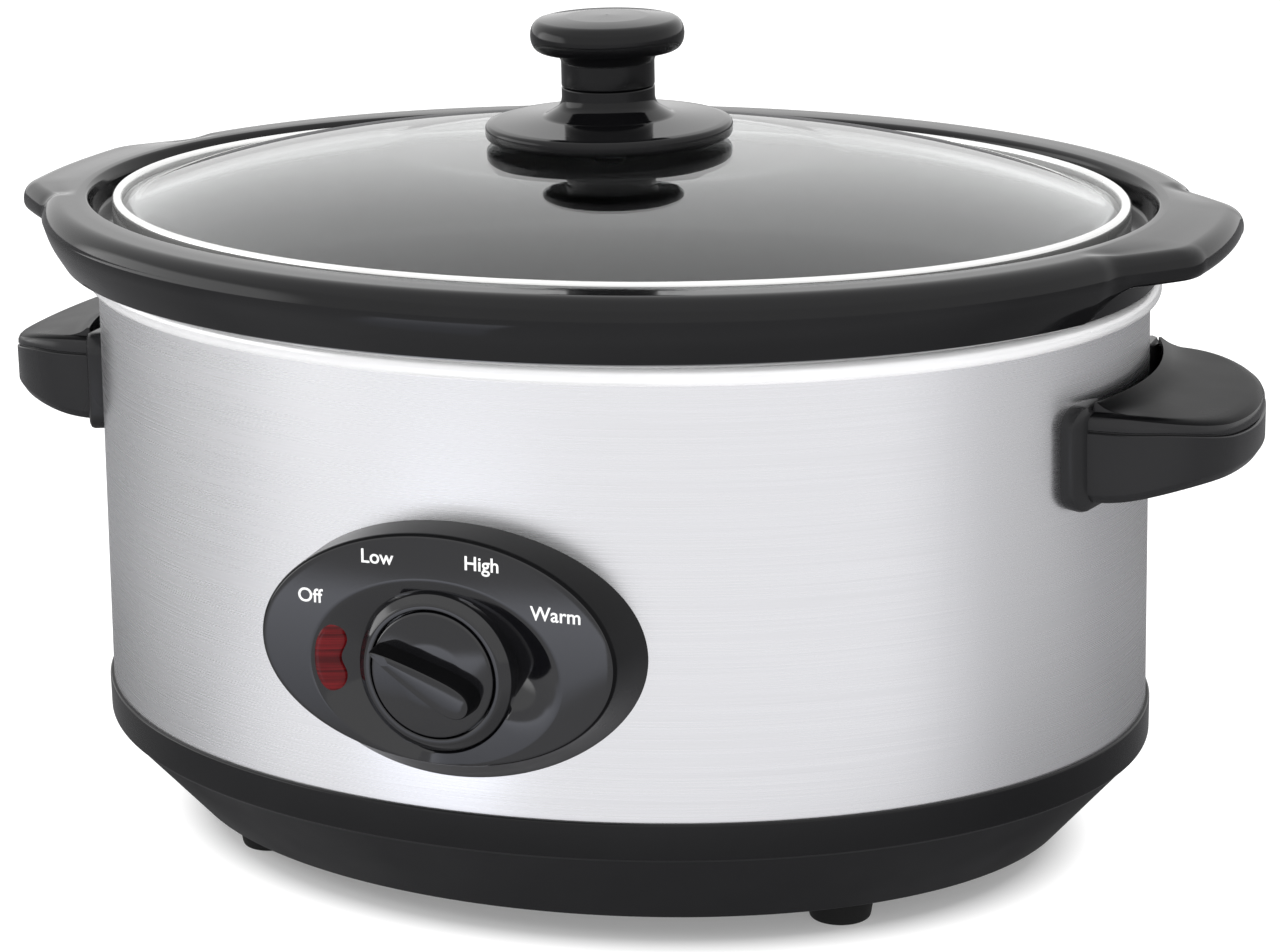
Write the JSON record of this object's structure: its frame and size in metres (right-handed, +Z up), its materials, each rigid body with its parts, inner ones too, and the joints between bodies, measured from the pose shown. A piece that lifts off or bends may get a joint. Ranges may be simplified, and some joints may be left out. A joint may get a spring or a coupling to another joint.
{
  "type": "slow cooker",
  "caption": "Oval electric slow cooker: brushed steel heating base with side handles and rotary control, lift-out black glazed crock and domed glass lid with knob.",
  "frame": {"origin": "middle of the oval, on the plane that the feet stand on", "axes": "+X along the oval to the right-hand handle, -Y towards the control knob, +Z up"},
  "size_m": [0.386, 0.2872, 0.2444],
  "materials": {
    "brushed_steel": "fine horizontal brushing",
    "pan_metal": "polished bead, satin well",
    "crock_glaze": "black gloss glaze on stoneware",
    "lid_glass": "clear tempered glass",
    "band_steel": "polished steel",
    "black_gloss": "black gloss moulding",
    "tray_plastic": "black heat-resistant moulding, fine grain",
    "foot_rubber": "matt rubber",
    "fastener_steel": "zinc-plated steel",
    "lens_red": "clear red moulding",
    "lamp_glass": "neon lamp",
    "switch_plastic": "moulded switch body",
    "shaft_metal": "plated shaft",
    "heater_mica": "heater strip in a metal sheath",
    "terminal_plastic": "moulded block",
    "lead_sleeve": "heat-resistant sleeve",
    "gasket_silicone": "soft seal",
    "gland_plastic": "black moulding"
  },
  "bodies": {
    "base": {"outer_shell": "brushed_steel", "heating_pan": "pan_metal", "base_tray": "tray_plastic", "foot_screws": "fastener_steel", "centre_stud": "fastener_steel", "centre_washer": "fastener_steel", "centre_nut": "fastener_steel", "control_bezel": "black_gloss", "bezel_screws": "fastener_steel", "indicator_lens": "lens_red", "indicator_lamp": "lamp_glass", "selector_switch": "switch_plastic", "switch_screws": "fastener_steel", "heater_band": "heater_mica", "heater_clamp": "fastener_steel", "thermal_cutoff": "heater_mica", "cutoff_clip": "fastener_steel", "terminal_block": "terminal_plastic", "switch_lead": "lead_sleeve", "cutoff_lead": "lead_sleeve", "cord_gland": "gland_plastic", "gland_nut": "gland_plastic", "right_handle_body": "black_gloss", "left_handle_body": "black_gloss", "right_handle_cover": "black_gloss", "left_handle_cover": "black_gloss", "handle_screws": "fastener_steel", "front_left_foot": "foot_rubber", "front_right_foot": "foot_rubber", "rear_left_foot": "foot_rubber", "rear_right_foot": "foot_rubber"},
    "crock": {"crock": "crock_glaze"},
    "lid": {"lid_glass": "lid_glass", "lid_rim_band": "band_steel", "lid_knob_flange": "black_gloss", "lid_knob_grip": "black_gloss", "lid_knob_gasket": "gasket_silicone", "lid_washer_gasket": "gasket_silicone", "lid_washer": "fastener_steel", "lid_screw": "fastener_steel"},
    "control_knob": {"control_knob": "black_gloss", "switch_shaft": "shaft_metal"}
  },
  "joints": [
    {"name": "crock_lift", "type": "slide", "parent": "base", "child": "crock", "axis": [0, 0, 1], "range_m": [0, 0.16]},
    {"name": "lid_lift", "type": "slide", "parent": "crock", "child": "lid", "axis": [0, 0, 1], "range_m": [0, 0.12]},
    {"name": "control_knob_turn", "type": "hinge", "parent": "base", "child": "control_knob", "pos_m": [0, -0.139, 0.0884], "axis": [0, 1, 0], "range_deg": [0, 126]}
  ]
}
